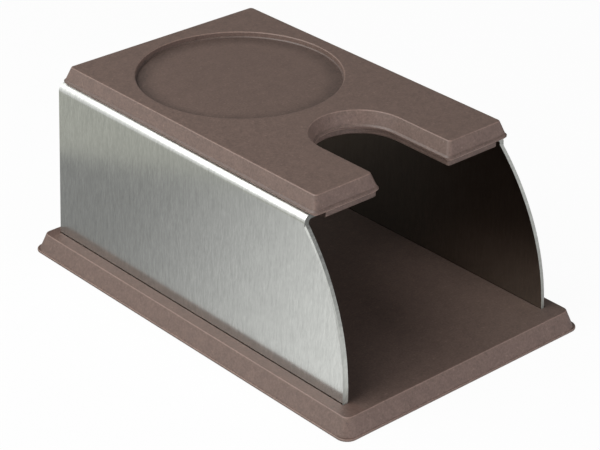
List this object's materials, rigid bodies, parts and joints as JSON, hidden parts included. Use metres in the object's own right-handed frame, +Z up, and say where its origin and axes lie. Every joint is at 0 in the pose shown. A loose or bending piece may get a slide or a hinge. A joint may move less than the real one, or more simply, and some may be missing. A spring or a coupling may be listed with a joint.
{
  "type": "espresso tamping station",
  "caption": "Countertop stand of folded brushed steel on a soft tray mat, with a slotted top mat that holds a portafilter level for tamping and a round recess for the tamper.",
  "frame": {"origin": "middle of the underside of the base mat, on the surface it stands on", "axes": "+Z up, +Y from the open front with the slot towards the back, X across the panels"},
  "size_m": [0.118, 0.18, 0.0772],
  "materials": {
    "brushed_steel": "vertical brush on the panels, satin",
    "silicone": "matte moulded silicone, warm grey-brown"
  },
  "bodies": {
    "root": {"base_mat": "silicone", "steel_body": "brushed_steel", "top_mat": "silicone"}
  },
  "joints": []
}
